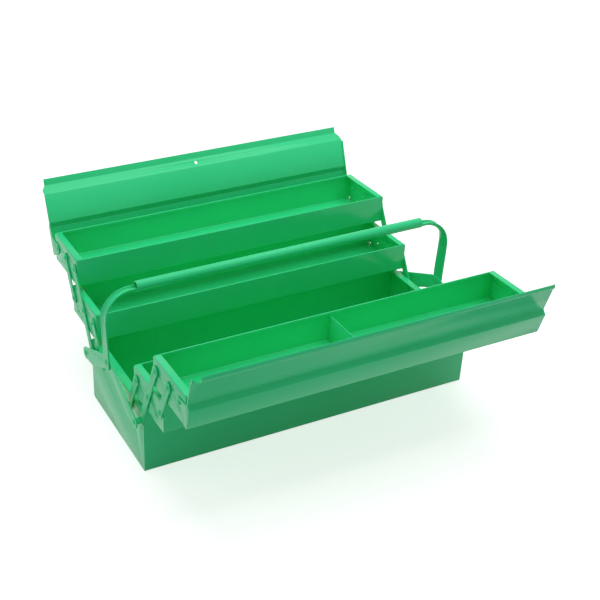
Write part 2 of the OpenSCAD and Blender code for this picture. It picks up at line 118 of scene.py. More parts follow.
# Linkage
EYE_D = 15.0
ARM_W = 12.5
ARM_ROUND = 0.45
ARM_ROUND_STEPS = 3
RIVET_D = 5.0
RIVET_FIT = 0.05
RIVET_HOLE_D = RIVET_D + 2 * RIVET_FIT
HEAD_D = 9.0
HEAD_H = 1.8
TAIL_D = 8.0
TAIL_H = 1.2
ARC_STEPS = 20
ROD_SIDES = 40
DOME_SIDES = 32
# How far a drill comes out of what it cuts
DRILL_OUT = 1.0

# Lids, closed and seen from their pivot
LID_X = 265.9
LID_FLANGE_H = 9.0
LUG_D = 15.0
LUG_LAP = 1.0
FRONT_LID = {"inset": 19.073, "top": 28.6, "floor": 21.8, "strip": 33.0, "run": 4.2,
             "width": 83.5}
REAR_LID = {"inset": 12.417, "top": 27.85, "floor": 22.85, "strip": 43.0, "run": 7.0,
            "width": 117.5}
FRONT_LEAN = 16.0
REAR_LEAN = 21.0
BEAD_W = 8.0
BEAD_RISE = 1.8
BEAD_DROP = 0.6
BEAD_STEPS = 8
FLANGE_GAP = 0.1
NOTCH_L = 12.0
NOTCH_DEPTH = 11.0
LIP_W = 10.0
LIP_CUTBACK = 5.4
BAND_RUN = 13.4
BAND_RISE = 11.0
BAND_CREASE = 0.5
CREASE_OUT = 1.5
BAND_SOFT = 1.0
BAND_HOLE_D = 5.0
BAND_HOLE_X = -5.0

# Bracket and handle
BRACKET_RISE = 47.0
BRACKET_SLOPE = 0.49
BRACKET_LEG_W = 21.5
BRACKET_TOP_R = 40.0
BRACKET_TOP_STEPS = 12
BRACKET_EYE_D = 19.0
BRACKET_EYE_END = 220.0
BRACKET_KNEE = 0.26
STRAP_W = 20.0
STRAP_T = 2.0
STRAP_BEND_R = 38.8
STRAP_RINGS = 28
STRAP_CROSS = 12
FOOT_STEPS = 6
FOOT_FROM = 10.0
SHANK_STEPS = 12
HOLLOW_R = 26.0
HOLLOW_FROM = 8.0
TONGUE_TAPER = 0.2
GRIP_D = 15.0
GRIP_WALL = 1.0
GRIP_SIDES = 64
GRIP_ROUND = 0.3
TONGUE_L = 6.0
TONGUE_GAP = 0.3

JOINT_AT = {j["name"]: [c / MM for c in j["pos_m"]] for j in frame["joints"]}
BODIES = frame["record"]["behaviour"]["bodies"]
BODY_OF = {node: body for body, nodes in BODIES.items() for node in nodes}


def joint_yz(joint):
    """Place of a joint in the YZ plane, in millimetres."""
    return JOINT_AT[joint][1], JOINT_AT[joint][2]


def node_box(node):
    """Lowest and highest corner of a CAD node, in millimetres."""
    low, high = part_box(node)
    return low / MM, high / MM


# ---------------------------------------------------------------- workshop

def lone(obj):
    """Selects this object and nothing else."""
    bpy.ops.object.select_all(action="DESELECT")
    obj.select_set(True)
    bpy.context.view_layer.objects.active = obj


def edit(obj):
    """Opens a piece in edit mode."""
    lone(obj)
    bpy.ops.object.mode_set(mode="EDIT")


def leave():
    """Ends edit mode."""
    bpy.ops.object.mode_set(mode="OBJECT")


def middle(part):
    """Middle of a vertex, an edge or a face."""
    if isinstance(part, bmesh.types.BMVert):
        return part.co
    return sum((v.co for v in part.verts), Vector()) / len(part.verts)


def pick(obj, kind, test):
    """In edit mode, selects the vertices, edges or faces whose middle passes the test."""
    bpy.ops.mesh.select_mode(type=kind)
    bpy.ops.mesh.select_all(action="DESELECT")
    mesh = bmesh.from_edit_mesh(obj.data)
    parts = {"VERT": mesh.verts, "EDGE": mesh.edges, "FACE": mesh.faces}[kind]
    for part in parts:
        if test(middle(part)):
            part.select_set(True)
    bmesh.update_edit_mesh(obj.data)


def face_out(obj):
    """Points every face outwards."""
    edit(obj)
    bpy.ops.mesh.select_all(action="SELECT")
    bpy.ops.mesh.normals_make_consistent(inside=False)
    leave()


def use(obj, kind, **settings):
    """Adds a modifier and applies it."""
    lone(obj)
    modifier = obj.modifiers.new(kind.lower(), kind)
    for key, value in settings.items():
        setattr(modifier, key, value)
    bpy.ops.object.modifier_apply(modifier=modifier.name)


def thicken(obj, thickness=SHEET):
    """Gives a folded surface its thickness, half to each side."""
    use(obj, "SOLIDIFY", thickness=thickness, offset=0.0, use_even_offset=True)
    face_out(obj)


def soften(obj, width, steps=EDGE_STEPS):
    """Rounds the sharp edges and smooths the bends."""
    use(obj, "BEVEL", width=width, segments=steps, limit_method="ANGLE", angle_limit=SHARP_ANGLE)
    lone(obj)
    bpy.ops.object.shade_smooth_by_angle(angle=SMOOTH_ANGLE)


def cut(obj, *tools):
    """Cuts each tool out of a piece."""
    for tool in tools:
        use(obj, "BOOLEAN", operation="DIFFERENCE", solver="EXACT", object=tool)
        bpy.data.objects.remove(tool)


def weld(obj, *parts):
    """Joins solid parts to a piece as one solid."""
    for part in parts:
        use(obj, "BOOLEAN", operation="UNION", solver="EXACT", object=part)
        bpy.data.objects.remove(part)


def settle(obj, turn=(0.0, 0.0, 0.0), move=(0.0, 0.0, 0.0), scale=(1.0, 1.0, 1.0)):
    """Turns, scales and moves a piece, and puts its place into its mesh."""
    lone(obj)
    obj.scale = scale
    obj.rotation_euler = turn
    obj.location = move
    bpy.ops.object.transform_apply(location=True, rotation=True, scale=True)
    if scale[0] * scale[1] * scale[2] < 0:
        face_out(obj)
    return obj


def twin(obj, name):
    """A copy with its own mesh."""
    other = obj.copy()
    other.data = obj.data.copy()
    other.name = name
    bpy.context.collection.objects.link(other)
    return other


def primitive(add, name, **settings):
    """Adds a primitive under that name, with its place put into its mesh."""
    bpy.ops.object.select_all(action="DESELECT")
    add(**settings)
    obj = bpy.context.object
    obj.name = name
    bpy.ops.object.transform_apply(location=True, rotation=True, scale=True)
    return obj


def peg(x0, x1, y, z, diameter):
    """A rod along X."""
    return primitive(bpy.ops.mesh.primitive_cylinder_add, "rod", vertices=ROD_SIDES,
                     radius=diameter / 2, depth=x1 - x0, location=((x0 + x1) / 2, y, z),
                     rotation=(0.0, math.pi / 2, 0.0))


def arc(centre, radius, start, end, steps=ARC_STEPS):
    """Points round a centre; angles in degrees, clockwise from upright."""
    turns = [math.radians(start + (end - start) * i / steps) for i in range(steps + 1)]
    return [(centre[0] + radius * math.sin(a), centre[1] + radius * math.cos(a)) for a in turns]


def plate(name, outline, x0, x1):
    """A flat plate of that YZ outline, from x0 to x1."""
    obj = primitive(bpy.ops.mesh.primitive_circle_add, name, vertices=len(outline), radius=1.0,
                    fill_type="NGON")
    for vertex, (y, z) in zip(obj.data.vertices, outline):
        vertex.co = (x0, y, z)
    edit(obj)
    bpy.ops.mesh.select_all(action="SELECT")
    bpy.ops.mesh.extrude_region_move(TRANSFORM_OT_translate={"value": (x1 - x0, 0.0, 0.0)})
    leave()
    face_out(obj)
    return obj


def fold(name, x0, x1, path, radii):
    """A sheet from x0 to x1, folded along a YZ path; radii gives each bend's corner and radius."""
    obj = primitive(bpy.ops.mesh.primitive_plane_add, name, size=1.0)
    edit(obj)
    bpy.ops.mesh.select_all(action="SELECT")
    bpy.ops.transform.resize(value=(x1 - x0, 1.0, 1.0))
    bpy.ops.transform.translate(value=((x0 + x1) / 2, 0.0, 0.0))
    for side, (y, z) in ((0.5, path[1]), (-0.5, path[0])):
        pick(obj, "EDGE", lambda m: abs(m.y - side) < NEAR and m.z == 0.0)
        bpy.ops.transform.translate(value=(0.0, y - side, z))
    at = path[1]
    pick(obj, "EDGE", lambda m: abs(m.y - at[0]) < NEAR and abs(m.z - at[1]) < NEAR)
    for here, there in zip(path[1:], path[2:]):
        step = (0.0, there[0] - here[0], there[1] - here[1])
        bpy.ops.mesh.extrude_region_move(TRANSFORM_OT_translate={"value": step})
    for corner, radius in radii:
        before, at, after = (Vector(path[corner + i]) for i in (-1, 0, 1))
        turn = (at - before).angle(after - at)
        pick(obj, "EDGE", lambda m: abs(m.y - at.x) < NEAR and abs(m.z - at.y) < NEAR)
        bpy.ops.mesh.bevel(offset=radius * math.tan(turn / 2), offset_type="OFFSET",
                           segments=BEND_STEPS, affect="EDGES", clamp_overlap=False)
    leave()
    return obj


def slice_off(obj, at, doomed):
    """Cuts a surface across X at that place and deletes the faces that doomed names."""
    edit(obj)
    bpy.ops.mesh.select_all(action="SELECT")
    bpy.ops.mesh.bisect(plane_co=(at, 0.0, 0.0), plane_no=(1.0, 0.0, 0.0))
    pick(obj, "FACE", doomed)
    bpy.ops.mesh.delete(type="FACE")
    leave()


# ---------------------------------------------------------------- materials

def new_group(name, inputs, outputs):
    """An empty shader node group; inputs are (name, kind, default) and outputs (name, kind)."""
    group = bpy.data.node_groups.new(name, "ShaderNodeTree")
    for label, kind, default in inputs:
        socket = group.interface.new_socket(label, in_out="INPUT", socket_type=kind)
        socket.default_value = default
    for label, kind in outputs:
        group.interface.new_socket(label, in_out="OUTPUT", socket_type=kind)
    entry = group.nodes.new("NodeGroupInput")
    exit_node = group.nodes.new("NodeGroupOutput")
    return group, entry, exit_node


def noise(tree, vector, scale, detail):
    """Noise at a scale that is a number or a socket."""
    node = tree.nodes.new("ShaderNodeTexNoise")
    node.inputs["Detail"].default_value = detail
    if isinstance(scale, float):
        node.inputs["Scale"].default_value = scale
    else:
        tree.links.new(scale, node.inputs["Scale"])
    tree.links.new(vector, node.inputs["Vector"])
    return node.outputs["Fac"]


def remap(tree, value, low, high, to_low, to_high):
    """A value from one range to another, kept inside it."""
    node = tree.nodes.new("ShaderNodeMapRange")
    node.inputs["From Min"].default_value = low
    node.inputs["From Max"].default_value = high
    node.inputs["To Min"].default_value = to_low
    node.inputs["To Max"].default_value = to_high
    tree.links.new(value, node.inputs["Value"])
    return node.outputs["Result"]


def orange_peel_group():
    """The faint ripple of sprayed enamel over slightly uneven sheet, as a normal."""
    group, entry, done = new_group(
        "orange_peel",
        [("Vector", "NodeSocketVector", (0, 0, 0)), ("Scale", "NodeSocketFloat", PEEL_SCALE),
         ("Depth", "NodeSocketFloat", PEEL_DEPTH), ("Waviness", "NodeSocketFloat", 0.0)],
        [("Normal", "NodeSocketVector")],
    )
    swell = group.nodes.new("ShaderNodeBump")
    swell.inputs["Distance"].default_value = SWELL_HEIGHT
    group.links.new(entry.outputs["Waviness"], swell.inputs["Strength"])
    swell_noise = noise(group, entry.outputs["Vector"], SWELL_SCALE, 0.0)
    group.links.new(swell_noise, swell.inputs["Height"])
    ripple = noise(group, entry.outputs["Vector"], entry.outputs["Scale"], 1.0)
    bump = group.nodes.new("ShaderNodeBump")
    bump.inputs["Distance"].default_value = PEEL_HEIGHT
    group.links.new(entry.outputs["Depth"], bump.inputs["Strength"])
    group.links.new(ripple, bump.inputs["Height"])
    group.links.new(swell.outputs["Normal"], bump.inputs["Normal"])
    group.links.new(bump.outputs["Normal"], done.inputs["Normal"])
    return group


def colour_drift_group():
    """Slow change of shade over a panel, between two enamel colours."""
    group, entry, done = new_group(
        "colour_drift",
        [("Vector", "NodeSocketVector", (0, 0, 0)), ("Main", "NodeSocketColor", ENAMEL),
         ("Deep", "NodeSocketColor", ENAMEL_DEEP), ("Scale", "NodeSocketFloat", DRIFT_SCALE)],
        [("Color", "NodeSocketColor"), ("Mask", "NodeSocketFloat")],
    )
    patches = noise(group, entry.outputs["Vector"], entry.outputs["Scale"], 3.0)
    mask = remap(group, patches, *DRIFT_RANGE, 0.0, 1.0)
    mix = group.nodes.new("ShaderNodeMix")
    mix.data_type = "RGBA"
    group.links.new(mask, mix.inputs["Factor"])
    group.links.new(entry.outputs["Main"], mix.inputs["A"])
    group.links.new(entry.outputs["Deep"], mix.inputs["B"])
    group.links.new(mix.outputs["Result"], done.inputs["Color"])
    group.links.new(mask, done.inputs["Mask"])
    return group


PEEL = orange_peel_group()
DRIFT = colour_drift_group()


def enamel(name, rough, waviness):
    """Glossy green stove enamel on steel."""
    mat = bpy.data.materials.new(name)
    mat.use_nodes = True
    tree = mat.node_tree
    shader = tree.nodes["Principled BSDF"]
    place = tree.nodes.new("ShaderNodeTexCoord").outputs["Object"]
    drift = tree.nodes.new("ShaderNodeGroup")
    drift.node_tree = DRIFT
    tree.links.new(place, drift.inputs["Vector"])
    tree.links.new(drift.outputs["Color"], shader.inputs["Base Color"])
    roughness = remap(tree, drift.outputs["Mask"], 0.0, 1.0, rough, rough * ROUGH_SPREAD)
    tree.links.new(roughness, shader.inputs["Roughness"])
    peel = tree.nodes.new("ShaderNodeGroup")
    peel.node_tree = PEEL
    peel.inputs["Waviness"].default_value = waviness
    tree.links.new(place, peel.inputs["Vector"])
    tree.links.new(peel.outputs["Normal"], shader.inputs["Normal"])
    shader.inputs["Specular IOR Level"].default_value = ENAMEL_SPECULAR
    return mat


PANEL_PAINT = enamel("panel_enamel", PANEL_ROUGH, PANEL_WAVINESS)
FITTING_PAINT = enamel("fitting_enamel", FITTING_ROUGH, 0.0)


def seat(obj, node, material):
    """Brings a finished piece to metres and lets it stand for its CAD node."""
    settle(obj, scale=(MM, MM, MM))
    obj.data.materials.clear()
    obj.data.materials.append(material)
    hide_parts(node)
    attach(obj, BODY_OF[node])


# ---------------------------------------------------------------- trays

def wrap(node):
    """Floor and both long walls of a tray, bent from one sheet, with hems rolled inwards."""
    low, high = node_box(node)
    half = SHEET / 2
    top = high.z - half
    walls = [low.y + half, high.y - half]
    hems = [walls[0] + HEM_PITCH, walls[1] - HEM_PITCH]
    path = [(hems[0], high.z - HEM_DEPTH), (hems[0], top), (walls[0], top),
            (walls[0], low.z + half), (walls[1], low.z + half),
            (walls[1], top), (hems[1], top), (hems[1], high.z - HEM_DEPTH)]
    tight = HEM_PITCH / 2 - HEM_SLACK
    wide = BEND_R - half
    radii = [(1, tight), (2, tight), (3, wide), (4, wide), (5, tight), (6, tight)]
    obj = fold(node + "_sheet", low.x, high.x, path, radii)
    thicken(obj)
    soften(obj, EDGE_ROUND)
    seat(obj, node, PANEL_PAINT)


def end_wall(node, flange, holes):
    """One end wall with its turned-in flange; holes are (y, z, diameter)."""
    low, high = node_box(node)
    right = high.x > 0
    half = SHEET / 2
    face = high.x if right else -low.x
    y0, y1 = low.y, high.y
    # Folded with the wall across Y, then turned to stand across X
    path = [(half, low.z), (half, high.z - half), (flange, high.z - half)]
    obj = fold(node + "_sheet", y0, y1, path, [(1, FOLD_R - half)])
    notch = 2 * SHEET + CORNER_GAP
    for at, side in ((y0 + notch, -1), (y1 - notch, 1)):
        slice_off(obj, at, lambda m: (m.x - at) * side > 0 and m.y > half + NEAR)
    edit(obj)
    pick(obj, "VERT", lambda m: m.z < low.z + NEAR and not y0 + NEAR < m.x < y1 - NEAR)
    bpy.ops.mesh.bevel(offset=BEND_R, segments=BEND_STEPS, affect="VERTICES")
    leave()
    thicken(obj)
    settle(obj, turn=(0.0, 0.0, math.pi / 2), move=(face, 0.0, 0.0))
    cut(obj, *(peg(face - 2 * SHEET, face + SHEET, y, z, d) for y, z, d in holes))
    soften(obj, EDGE_ROUND)
    if not right:
        settle(obj, scale=(-1.0, 1.0, 1.0))
    seat(obj, node, PANEL_PAINT)


# ---------------------------------------------------------------- linkage

def bar_outline(pivots):
    """Flat bar with a round eye at each end, upright from its first pivot; pivots are heights."""
    last = pivots[-1]
    meet = math.degrees(math.asin(ARM_W / EYE_D))
    return arc((0.0, last), EYE_D / 2, meet - 180.0, 180.0 - meet) + \
        arc((0.0, 0.0), EYE_D / 2, meet, 360.0 - meet)


def bar(node, foot, top, pivots):
    """An arm or link from its lower pivot to its upper one, with a hole at each pivot height."""
    low, high = node_box(node)
    obj = plate(node + "_bar", bar_outline(pivots), low.x, high.x)
    cut(obj, *(peg(low.x - DRILL_OUT, high.x + DRILL_OUT, 0.0, z, RIVET_HOLE_D) for z in pivots))
    soften(obj, ARM_ROUND, ARM_ROUND_STEPS)
    lean = math.atan2(top[0] - foot[0], top[1] - foot[1])
    settle(obj, turn=(-lean, 0.0, 0.0), move=(0.0, foot[0], foot[1]))
    seat(obj, node, FITTING_PAINT)


def rivet(shank):
    """Domed rivet along X: the outer head begins at x = 0 and the shank runs inward."""
    ball = (HEAD_D ** 2 / 4 + HEAD_H ** 2) / (2 * HEAD_H)
    obj = primitive(bpy.ops.mesh.primitive_uv_sphere_add, "rivet", segments=DOME_SIDES,
                    ring_count=DOME_SIDES, radius=ball, rotation=(0.0, math.pi / 2, 0.0))
    edit(obj)
    bpy.ops.mesh.select_all(action="SELECT")
    bpy.ops.mesh.bisect(plane_co=(ball - HEAD_H, 0.0, 0.0), plane_no=(1.0, 0.0, 0.0),
                        clear_inner=True, use_fill=True)
    leave()
    settle(obj, move=(HEAD_H - ball, 0.0, 0.0))
    tail = peg(-shank - TAIL_H, -shank, 0.0, 0.0, TAIL_D)
    weld(obj, peg(-shank - TAIL_H / 2, HEAD_H / 2, 0.0, 0.0, RIVET_D), tail)
    soften(obj, EDGE_ROUND)
    return obj


def rivet_group(node, places):
    """Rivets at (head_x, shank, y, z), at both ends of the box, as one piece."""
    made = {}
    copies = []
    for head_x, shank, y, z in places:
        if shank not in made:
            made[shank] = rivet(shank)
        for side in (-1.0, 1.0):
            copy = twin(made[shank], node + "_heads")
            settle(copy, scale=(side, 1.0, 1.0), move=(side * head_x, y, z))
            copies.append(copy)
    for model in made.values():
        bpy.data.objects.remove(model)
    bpy.ops.object.select_all(action="DESELECT")
    for copy in copies:
        copy.select_set(True)
    bpy.context.view_layer.objects.active = copies[0]
    bpy.ops.object.join()
    obj = bpy.context.object
    seat(obj, node, FITTING_PAINT)


def bracket(node):
    """Shallow upside-down V over the arms' bottom pivots, with a rounded top."""
    low, high = node_box(node)
    eye_y, base_z = joint_yz("rear_fan")
    turn = math.degrees(math.atan(BRACKET_SLOPE))
    crown = BRACKET_RISE + BRACKET_TOP_R * (1 / math.cos(math.radians(turn)) - 1)
    depth = BRACKET_LEG_W / math.cos(math.radians(turn))
    knee_z = -BRACKET_EYE_D * BRACKET_KNEE
    knee_y = (crown - depth - knee_z) / BRACKET_SLOPE
    eye_r = BRACKET_EYE_D / 2
    right = arc((eye_y, 0.0), eye_r, turn, BRACKET_EYE_END) + [(knee_y, knee_z)]
    left = [(-y, z) for y, z in reversed(right)]
    top_mid = (0.0, BRACKET_RISE - BRACKET_TOP_R)
    top = arc(top_mid, BRACKET_TOP_R, -turn, turn, BRACKET_TOP_STEPS)
    outline = top + right + [(0.0, crown - depth)] + left
    obj = plate(node + "_plate", outline, low.x, high.x)
    pins = [(eye_y, 0.0), (-eye_y, 0.0), (0.0, JOINT_AT["handle_swing"][2] - base_z)]
    cut(obj, *(peg(low.x - DRILL_OUT, high.x + DRILL_OUT, y, z, RIVET_HOLE_D) for y, z in pins))
    soften(obj, ARM_ROUND, ARM_ROUND_STEPS)
    settle(obj, move=(0.0, 0.0, base_z))
    seat(obj, node, FITTING_PAINT)


# ---------------------------------------------------------------- lids

def lid_shell(name, lid, edge_path):
    """Lid panel, closed and seen from its pivot: raised strip, slope, panel and free edge."""
    half = SHEET / 2
    step = lid["inset"] - lid["strip"]
    path = [(lid["inset"], lid["top"] - half), (step, lid["top"] - half),
            (step - lid["run"], lid["floor"] - half)] + [(y, z - half) for y, z in edge_path]
    return fold(name, -LID_X, LID_X, path, [(1, FOLD_R), (2, FOLD_R)])


def lid_flanges(obj, lid, stop):
    """Folds a flange down along both ends, from the hinge edge to where the free edge begins."""
    low = lid["top"] - LID_FLANGE_H
    for side in (-1, 1):
        edit(obj)
        pick(obj, "EDGE", lambda m: abs(m.x - side * LID_X) < NEAR and m.y > stop)
        down = (0.0, 0.0, -LID_FLANGE_H)
        bpy.ops.mesh.extrude_region_move(TRANSFORM_OT_translate={"value": down})
        bpy.ops.transform.resize(value=(1.0, 1.0, 0.0), center_override=(0.0, 0.0, low))
        leave()


def lug(side, lid):
    """Round pivot lug under the flange, with its web."""
    low = lid["top"] - LID_FLANGE_H
    outline = [(lid["inset"], low + LUG_LAP), (lid["inset"], low)] + \
        arc((0.0, 0.0), LUG_D / 2, 90.0, 270.0) + [(-LUG_D, low), (-LUG_D, low + LUG_LAP)]
    x0 = side * LID_X - SHEET / 2
    return plate("lug", outline, x0, x0 + SHEET)


def finish_lid(obj, lid, side, lean, node):
    """Welds the lugs on, drills them, and opens the lid to its lean."""
    hinge = JOINT_AT[side + "_lid_hinge"]
    weld(obj, lug(-1, lid), lug(1, lid))
    drill_x = LID_X + SHEET / 2 + DRILL_OUT
    cut(obj, peg(-drill_x, drill_x, 0.0, 0.0, RIVET_HOLE_D))
    soften(obj, EDGE_ROUND)
    settle(obj, turn=(-math.radians(90.0 + lean), 0.0, 0.0),
           move=(0.0, abs(hinge[1]), hinge[2]))
    if side == "front":
        settle(obj, scale=(1.0, -1.0, 1.0))
    seat(obj, node, PANEL_PAINT)


def front_lid():
    """Front lid half, with a bead along its free edge and a notch at its left end."""
    free = FRONT_LID["inset"] - FRONT_LID["width"]
    bead = []
    for i in range(BEAD_STEPS + 1):
        t = i / BEAD_STEPS
        rise = BEAD_RISE * math.sin(math.pi * t) - BEAD_DROP * t
        bead.append((free + BEAD_W * (1 - t), FRONT_LID["floor"] + rise))
    obj = lid_shell("front_lid_panel", FRONT_LID, bead)
    lid_flanges(obj, FRONT_LID, free + FLANGE_GAP)
    thicken(obj)
    left = -LID_X + SHEET / 2
    corners = [(0.0, 0.0), (NOTCH_L, NOTCH_DEPTH), (NOTCH_L, -SHEET), (0.0, -SHEET)]
    notch = plate("notch", [(free + y, left + x) for x, y in corners], -2 * FRONT_LID["top"], 0.0)
    settle(notch, turn=(0.0, math.pi / 2, 0.0))
    cut(obj, notch)
    finish_lid(obj, FRONT_LID, "front", FRONT_LEAN, "front_lid")


def rear_lid():
    """Rear lid half, with a creased band and a slightly shorter lip along its free edge."""
    free = REAR_LID["inset"] - REAR_LID["width"]
    lip = free + LIP_W
    band = lip + BAND_RUN
    lip_top = REAR_LID["floor"] + BAND_RISE
    crease_z = REAR_LID["floor"] + BAND_RISE * (1 - BAND_CREASE) + CREASE_OUT
    crease = (lip + BAND_RUN * BAND_CREASE, crease_z)
    corners = [(band, REAR_LID["floor"]), crease, (lip, lip_top)]
    obj = lid_shell("rear_lid_panel", REAR_LID, corners + [(free, lip_top)])
    edit(obj)
    pick(obj, "VERT", lambda m: m.y < lip + NEAR)
    bpy.ops.transform.resize(value=(1.0 - LIP_CUTBACK / LID_X, 1.0, 1.0),
                             center_override=(0.0, 0.0, 0.0))
    for y, z in corners:
        pick(obj, "EDGE", lambda m: abs(m.y - y) < NEAR and abs(m.z - z + SHEET / 2) < NEAR)
        bpy.ops.mesh.bevel(offset=BAND_SOFT, segments=BEND_STEPS, affect="EDGES")
    leave()
    lid_flanges(obj, REAR_LID, band + BAND_SOFT)
    thicken(obj)
    hole = peg(0.0, 2 * REAR_LID["top"], 0.0, 0.0, BAND_HOLE_D)
    settle(hole, turn=(0.0, -math.pi / 2, 0.0), move=(BAND_HOLE_X, lip + BAND_RUN / 2, 0.0))
    cut(obj, hole)
    finish_lid(obj, REAR_LID, "rear", REAR_LEAN, "rear_lid")


# ---------------------------------------------------------------- handle

def smooth(t):
    """Eases 0 to 1."""
    return t * t * (3 - 2 * t)


def strap_rows(mid_x, foot_z, flat_z, bend_z, tongue_r, grip_end):
    """One function per row of the strap, from its round foot to the end of its curl.

    Each takes -1 to 1 across the strap and gives the point of the strap's middle sheet. The strap
    is flat up to flat_z.
    """
    half_w = STRAP_W / 2
    bend_x = mid_x - STRAP_BEND_R

    def hollow(z):
        """Curl of the strap at that height, as one over its radius."""
        return smooth(max((z - flat_z) / (bend_z - flat_z), 0.0)) / HOLLOW_R

    def across(radius, v):
        """How far sideways and how far out the curl takes the strap, at v of its half width."""
        a = v * half_w / radius
        return radius * math.sin(a), radius * (1 - math.cos(a))

    def straight(width, z):
        curl = hollow(z)

        def point(v):
            share = v * width
            y, out = across(1 / curl, share) if curl > 0 else (share * half_w, 0.0)
            return (mid_x + out, y, z)
        return point

    def bent(t, reach):
        radius = 1 / (1 / HOLLOW_R + (1 / tongue_r - 1 / HOLLOW_R) * smooth(t))
        turn = math.radians(90.0 * t)

        def point(v):
            y, out = across(radius, v * (1 - TONGUE_TAPER * smooth(t)))
            r = STRAP_BEND_R + out
            return (bend_x + r * math.cos(turn) - reach, y, bend_z + r * math.sin(turn))
        return point

    span = (90.0 - FOOT_FROM) / FOOT_STEPS
    foot = [math.radians(FOOT_FROM + span * i) for i in range(FOOT_STEPS + 1)]
    rows = [straight(math.sin(a), foot_z + half_w * (1 - math.cos(a))) for a in foot]
    rise = bend_z - foot_z - half_w
    rows += [straight(1.0, foot_z + half_w + rise * i / SHANK_STEPS)
             for i in range(1, SHANK_STEPS)]
    rows += [bent(i / STRAP_RINGS, 0.0) for i in range(STRAP_RINGS + 1)]
    rows.append(bent(1.0, bend_x - grip_end + TONGUE_L))
    return rows


def strap(node):
    """Flat strap that stands on the bracket, bends inward and curls up into the grip tube."""
    low, high = node_box(node)
    right = high.x > 0
    mid_x = (high.x if right else -low.x) - STRAP_T / 2
    grip_low, grip_high = node_box("handle_grip")
    tongue_r = GRIP_D / 2 - GRIP_WALL - TONGUE_GAP - STRAP_T / 2
    bend_z = (grip_low.z + grip_high.z) / 2 - tongue_r - STRAP_BEND_R
    pivot_z = JOINT_AT["handle_swing"][2]
    rows = strap_rows(mid_x, low.z, pivot_z + HOLLOW_FROM, bend_z, tongue_r, grip_high.x)
    last = len(rows) - 1
    obj = primitive(bpy.ops.mesh.primitive_grid_add, node + "_bar", x_subdivisions=STRAP_CROSS,
                    y_subdivisions=last, size=2.0)
    for vertex in obj.data.vertices:
        row = round((vertex.co.y + 1) / 2 * last)
        vertex.co = rows[row](vertex.co.x)
    thicken(obj, STRAP_T)
    cut(obj, peg(mid_x - STRAP_T, mid_x + STRAP_T, 0.0, pivot_z, RIVET_HOLE_D))
    soften(obj, ARM_ROUND, ARM_ROUND_STEPS)
    if not right:
        settle(obj, scale=(-1.0, 1.0, 1.0))
    seat(obj, node, FITTING_PAINT)


def grip():
    """Open-ended tube that the strap ends curl into."""
    low, high = node_box("handle_grip")
    obj = primitive(bpy.ops.mesh.primitive_cylinder_add, "handle_grip_tube", vertices=GRIP_SIDES,
                    radius=(GRIP_D - GRIP_WALL) / 2, depth=high.x - low.x,
                    end_fill_type="NOTHING", location=(0.0, 0.0, (low.z + high.z) / 2),
                    rotation=(0.0, math.pi / 2, 0.0))
    thicken(obj, GRIP_WALL)
    soften(obj, GRIP_ROUND, ARM_ROUND_STEPS)
    seat(obj, "handle_grip", FITTING_PAINT)


def divider():
    """Sheet divider with a foot folded along the tray floor."""
    low, high = node_box("front_tray_divider")
    half = SHEET / 2
    path = [(-half, high.z), (-half, low.z + half), (-SHEET - DIVIDER_FOOT, low.z + half)]
    obj = fold("front_tray_divider_sheet", low.y, high.y, path, [(1, FOLD_R - half)])
    clear = BEND_R + CORNER_GAP
    for at, side in ((low.y + clear, -1), (high.y - clear, 1)):
        slice_off(obj, at, lambda m: (m.x - at) * side > 0 and m.z < low.z + clear)
    thicken(obj)
    settle(obj, turn=(0.0, 0.0, math.pi / 2), move=(low.x, 0.0, 0.0))
    soften(obj, EDGE_ROUND)
    seat(obj, "front_tray_divider", PANEL_PAINT)


# ---------------------------------------------------------------- stage

def looking(tree):
    """1 for the camera's rays and those in reflections and glass, 0 for rays that light things."""
    path = tree.nodes.new("ShaderNodeLightPath")
    seen = path.outputs["Is Camera Ray"]
    for kind in ("Is Glossy Ray", "Is Transmission Ray"):
        both = tree.nodes.new("ShaderNodeMath")
        both.operation = "MAXIMUM"
        tree.links.new(seen, both.inputs[0])
        tree.links.new(path.outputs[kind], both.inputs[1])
        seen = both.outputs["Value"]
    return seen


def floor():
    """Plain pale floor, which keeps the object's shadow."""
    plane = primitive(bpy.ops.mesh.primitive_plane_add, "floor", size=FLOOR_SIZE)
    mat = bpy.data.materials.new("pale_floor")
    mat.use_nodes = True
    tree = mat.node_tree
    shader = tree.nodes["Principled BSDF"]
    shader.inputs["Base Color"].default_value = FLOOR_COLOUR
    shader.inputs["Roughness"].default_value = FLOOR_ROUGH
    shader.inputs["Specular IOR Level"].default_value = FLOOR_SPECULAR
    lift = remap(tree, looking(tree), 0.0, 1.0, 0.0, FLOOR_LIFT)
    shader.inputs["Emission Color"].default_value = WHITE
    tree.links.new(lift, shader.inputs["Emission Strength"])
    plane.data.materials.append(mat)


def area_light(name, place, aim, size, power):
    """Rectangular lamp at a place, aimed at a point."""
    data = bpy.data.lights.new(name, "AREA")
    data.shape = "RECTANGLE"
    data.size, data.size_y = size
    data.energy = power
    lamp = bpy.data.objects.new(name, data)
    bpy.context.collection.objects.link(lamp)
    lamp.location = place
    lamp.rotation_euler = (Vector(aim) - Vector(place)).to_track_quat("-Z", "Y").to_euler()


def studio():
    """White surroundings and the lamps."""
    world = bpy.data.worlds.new("studio")
    bpy.context.scene.world = world
    world.use_nodes = True
    tree = world.node_tree
    back = tree.nodes["Background"]
    back.inputs["Color"].default_value = WHITE
    strength = remap(tree, looking(tree), 0.0, 1.0, WORLD_LEVEL, 1.0)
    tree.links.new(strength, back.inputs["Strength"])
    for name, lamp in LAMPS.items():
        area_light(name, **lamp)


